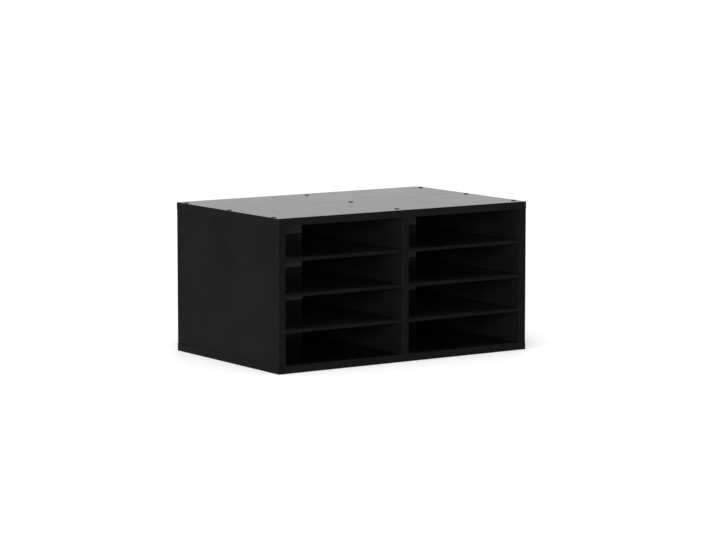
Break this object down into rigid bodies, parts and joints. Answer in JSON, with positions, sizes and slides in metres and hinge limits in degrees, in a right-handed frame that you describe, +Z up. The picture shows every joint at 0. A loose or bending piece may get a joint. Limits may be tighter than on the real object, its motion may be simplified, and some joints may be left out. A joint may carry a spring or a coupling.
{
  "type": "desktop envelope sorter",
  "caption": "Wide, low desktop sorter of black laminated board with side-by-side columns of open slots, loose shelves in front-open grooves and a thin back panel let in all round.",
  "frame": {"origin": "middle of the underside, on the surface the sorter stands on", "axes": "+X to the right along the long side, the open front faces -Y, +Z up"},
  "size_m": [0.5, 0.32, 0.2553],
  "materials": {
    "black_laminate": "satin black melamine",
    "black_shelf_board": "semi-gloss black laminate",
    "black_hardboard": "semi-gloss black lacquered hardboard",
    "screw_steel": "zinc plated",
    "cap_plastic": "matte black"
  },
  "bodies": {
    "carcass": {"top_panel": "black_laminate", "bottom_panel": "black_laminate", "left_side_panel": "black_laminate", "right_side_panel": "black_laminate", "centre_divider": "black_laminate", "back_panel": "black_hardboard", "left_top_screws": "screw_steel", "left_bottom_screws": "screw_steel", "left_screw_caps": "cap_plastic", "centre_top_screws": "screw_steel", "centre_bottom_screws": "screw_steel", "centre_screw_caps": "cap_plastic", "right_top_screws": "screw_steel", "right_bottom_screws": "screw_steel", "right_screw_caps": "cap_plastic"},
    "left_lower_shelf": {"left_lower_shelf": "black_shelf_board"},
    "left_middle_shelf": {"left_middle_shelf": "black_shelf_board"},
    "left_upper_shelf": {"left_upper_shelf": "black_shelf_board"},
    "right_lower_shelf": {"right_lower_shelf": "black_shelf_board"},
    "right_middle_shelf": {"right_middle_shelf": "black_shelf_board"},
    "right_upper_shelf": {"right_upper_shelf": "black_shelf_board"}
  },
  "joints": [
    {"name": "left_lower_shelf_slide", "type": "slide", "parent": "carcass", "child": "left_lower_shelf", "axis": [0, -1, 0], "range_m": [0, 0.32]},
    {"name": "left_middle_shelf_slide", "type": "slide", "parent": "carcass", "child": "left_middle_shelf", "axis": [0, -1, 0], "range_m": [0, 0.32]},
    {"name": "left_upper_shelf_slide", "type": "slide", "parent": "carcass", "child": "left_upper_shelf", "axis": [0, -1, 0], "range_m": [0, 0.32]},
    {"name": "right_lower_shelf_slide", "type": "slide", "parent": "carcass", "child": "right_lower_shelf", "axis": [0, -1, 0], "range_m": [0, 0.32]},
    {"name": "right_middle_shelf_slide", "type": "slide", "parent": "carcass", "child": "right_middle_shelf", "axis": [0, -1, 0], "range_m": [0, 0.32]},
    {"name": "right_upper_shelf_slide", "type": "slide", "parent": "carcass", "child": "right_upper_shelf", "axis": [0, -1, 0], "range_m": [0, 0.32]}
  ]
}
